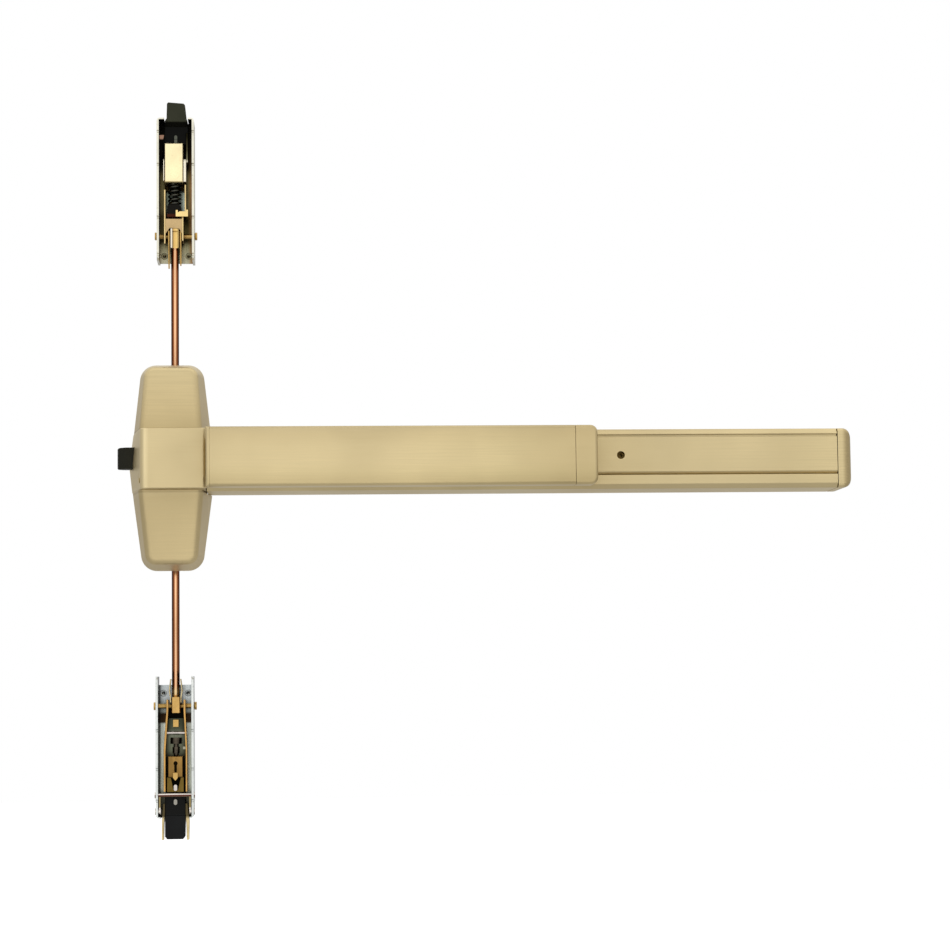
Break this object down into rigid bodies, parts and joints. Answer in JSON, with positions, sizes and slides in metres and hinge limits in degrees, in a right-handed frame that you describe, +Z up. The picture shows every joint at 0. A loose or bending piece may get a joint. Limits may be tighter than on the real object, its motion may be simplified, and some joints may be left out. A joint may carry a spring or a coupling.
{
  "type": "vertical rod exit device",
  "caption": "Satin brass touchbar exit device whose push pad draws back a side latch and the bolts of an upper and a lower vertical rod latch.",
  "frame": {"origin": "on the door face behind the centre case, on the axis of the vertical rods and at mid height of the bar", "axes": "+X along the bar from the lock edge to the hinge side, +Y into the door, +Z up"},
  "size_m": [0.727, 0.135, 0.7402],
  "materials": {
    "satin_brass": "satin, brushed along the bar",
    "brass_screw": "satin",
    "plain_steel": "plain zinc-plated steel",
    "spring_steel": "dark oiled spring steel",
    "zinc_case": "bright zinc plate",
    "silver_steel": "bright turned steel",
    "yellow_zinc": "yellow zinc plate",
    "bright_brass": "machined brass",
    "bronze": "dull bronze",
    "copper_rod": "copper-coloured plated steel",
    "black_metal": "satin black",
    "cream_zinc": "pale yellow zinc plate"
  },
  "bodies": {
    "frame": {"center_case_cover": "satin_brass", "cover_screws": "brass_screw", "base_plate": "plain_steel", "side_latch_frame": "plain_steel", "mechanism_case": "satin_brass", "case_cover_plate": "satin_brass", "end_cap": "satin_brass", "end_bracket": "plain_steel", "crank_brackets": "plain_steel", "crank_pivots": "plain_steel", "link_spring_stop": "plain_steel", "link_spring": "spring_steel", "dogging_bridge": "plain_steel", "top_latch_case": "zinc_case", "top_spring_lug": "black_metal", "top_spring": "spring_steel", "top_leaf": "bronze", "bottom_latch_case": "zinc_case", "bottom_front_bar": "silver_steel"},
    "pad": {"push_pad": "satin_brass", "pad_end_cap_inner": "satin_brass", "pad_end_cap_outer": "satin_brass", "pad_brackets": "plain_steel"},
    "crank_a": {"bell_crank_left": "plain_steel", "crank_pins_left": "plain_steel"},
    "crank_b": {"bell_crank_right": "plain_steel", "crank_pins_right": "plain_steel"},
    "link": {"link_bar": "plain_steel", "cam_plate": "plain_steel", "link_rivets": "plain_steel", "link_rod": "plain_steel"},
    "side_latch": {"side_latch": "black_metal", "side_latch_pin": "plain_steel"},
    "top_rods": {"top_rod_slide": "plain_steel", "top_slide_pin": "plain_steel", "top_rod": "copper_rod", "top_rod_end": "bright_brass", "top_cross_pin": "yellow_zinc", "top_pin_links": "yellow_zinc", "top_carriage": "yellow_zinc", "top_tab": "yellow_zinc", "top_back_plate": "zinc_case", "top_brass_block": "bright_brass", "top_bolt": "black_metal", "top_bolt_screw": "silver_steel"},
    "bottom_rods": {"bottom_rod_slide": "plain_steel", "bottom_slide_pin": "plain_steel", "bottom_rod": "copper_rod", "bottom_rod_clip": "cream_zinc", "bottom_rod_end": "bright_brass", "bottom_cross_pin": "yellow_zinc", "bottom_carriage": "yellow_zinc", "bottom_silver_pins": "silver_steel", "bottom_brass_keys": "bright_brass", "bottom_adjuster": "black_metal", "bottom_bronze_block": "bronze", "bottom_vee_plate": "bronze", "bottom_bolt": "black_metal", "bottom_bolt_cheeks": "cream_zinc"},
    "dogging": {"dogging_screw": "plain_steel"}
  },
  "joints": [
    {"name": "pad_press", "type": "slide", "parent": "frame", "child": "pad", "axis": [0, 1, 0], "range_m": [0, 0.019], "stiffness_N_per_m": 1500, "springref_m": -0.012},
    {"name": "crank_a_turn", "type": "hinge", "parent": "frame", "child": "crank_a", "pos_m": [0.11, -0.042, 0.0036], "axis": [0, 0, -1], "range_deg": [0, 32]},
    {"name": "crank_b_turn", "type": "hinge", "parent": "frame", "child": "crank_b", "pos_m": [0.345, -0.042, 0.0036], "axis": [0, 0, -1], "range_deg": [0, 32]},
    {"name": "link_slide", "type": "slide", "parent": "frame", "child": "link", "axis": [1, 0, 0], "range_m": [0, 0.016], "deforming": ["link_spring"]},
    {"name": "side_latch_slide", "type": "slide", "parent": "frame", "child": "side_latch", "axis": [1, 0, 0], "range_m": [0, 0.016]},
    {"name": "top_rod_slide", "type": "slide", "parent": "frame", "child": "top_rods", "axis": [0, 0, -1], "range_m": [0, 0.016], "deforming": ["top_spring"]},
    {"name": "bottom_rod_slide", "type": "slide", "parent": "frame", "child": "bottom_rods", "axis": [0, 0, 1], "range_m": [0, 0.016]},
    {"name": "dogging_turn", "type": "hinge", "parent": "frame", "child": "dogging", "pos_m": [0.44, -0.042, 0.0036], "axis": [0, 1, 0], "range_deg": [0, 45]}
  ],
  "couplings": [
    {"joint": "crank_a_turn", "follows": "pad_press", "rad_per_m": 29.39},
    {"joint": "crank_b_turn", "follows": "pad_press", "rad_per_m": 29.39},
    {"joint": "link_slide", "follows": "pad_press", "ratio": 0.8421},
    {"joint": "side_latch_slide", "follows": "pad_press", "ratio": 0.8421},
    {"joint": "top_rod_slide", "follows": "pad_press", "ratio": 0.8421},
    {"joint": "bottom_rod_slide", "follows": "pad_press", "ratio": 0.8421}
  ]
}
